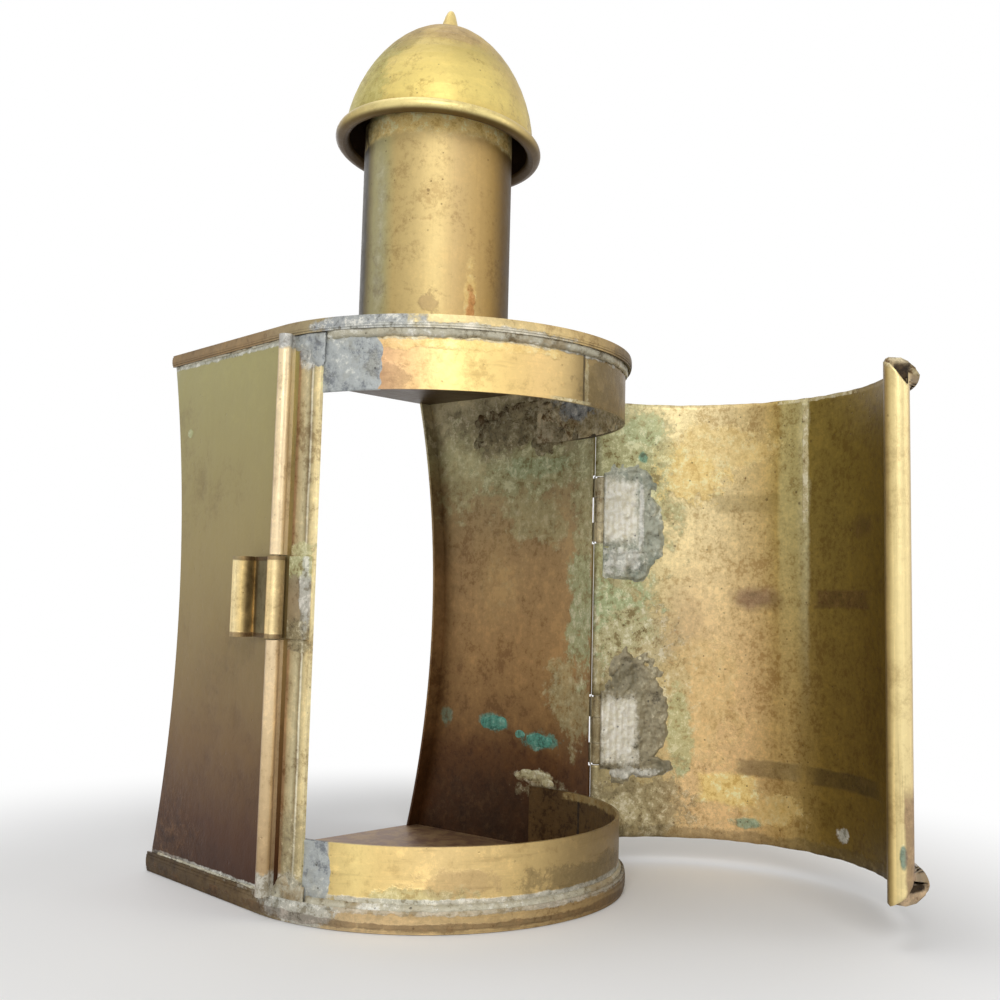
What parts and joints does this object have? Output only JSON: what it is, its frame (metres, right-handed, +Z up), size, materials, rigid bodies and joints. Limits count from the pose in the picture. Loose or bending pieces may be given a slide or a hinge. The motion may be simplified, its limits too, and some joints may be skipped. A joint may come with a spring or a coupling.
{
  "type": "binnacle lantern",
  "caption": "Small brass lamp case with a bowed hinged front door, an open bowed back, a round chimney and a domed cap on straps.",
  "frame": {"origin": "underside of the base, at the centre of the rounded front", "axes": "+Z up, -Y out through the front opening that the door covers, +X to the hinge side"},
  "size_m": [0.12, 0.1562, 0.2135],
  "materials": {
    "aged_brass": "tarnished",
    "bright_brass": "worn satin",
    "solder": "dull grey"
  },
  "bodies": {
    "case": {"base_tray": "aged_brass", "base_solder": "solder", "top_plate": "bright_brass", "top_solder": "solder", "left_wall": "aged_brass", "right_wall": "aged_brass", "upper_band": "bright_brass", "lower_band": "bright_brass", "latch_post": "aged_brass", "latch_rail": "bright_brass", "latch_pin": "bright_brass", "latch_plate": "bright_brass", "chimney_tube": "aged_brass", "chimney_solder": "solder", "cap_straps": "aged_brass", "cap_dome": "bright_brass", "cap_rim": "bright_brass", "cap_finial": "bright_brass", "upper_wall_leaf": "aged_brass", "upper_hinge_pin": "bright_brass", "lower_wall_leaf": "aged_brass", "lower_hinge_pin": "bright_brass"},
    "door": {"door_panel": "aged_brass", "door_edge_roll": "bright_brass", "upper_door_leaf": "aged_brass", "lower_door_leaf": "aged_brass"},
    "hasp": {"latch_hasp": "bright_brass"}
  },
  "joints": [
    {"name": "door_hinge", "type": "hinge", "parent": "case", "child": "door", "pos_m": [0.04451, -0.01276, 0.062], "axis": [0, 0, 1], "range_deg": [-80.5, 83.5]},
    {"name": "hasp_swing", "type": "hinge", "parent": "case", "child": "hasp", "pos_m": [-0.04685, -0.002, 0.0647], "axis": [0, 0, 1], "range_deg": [0, 150]}
  ]
}
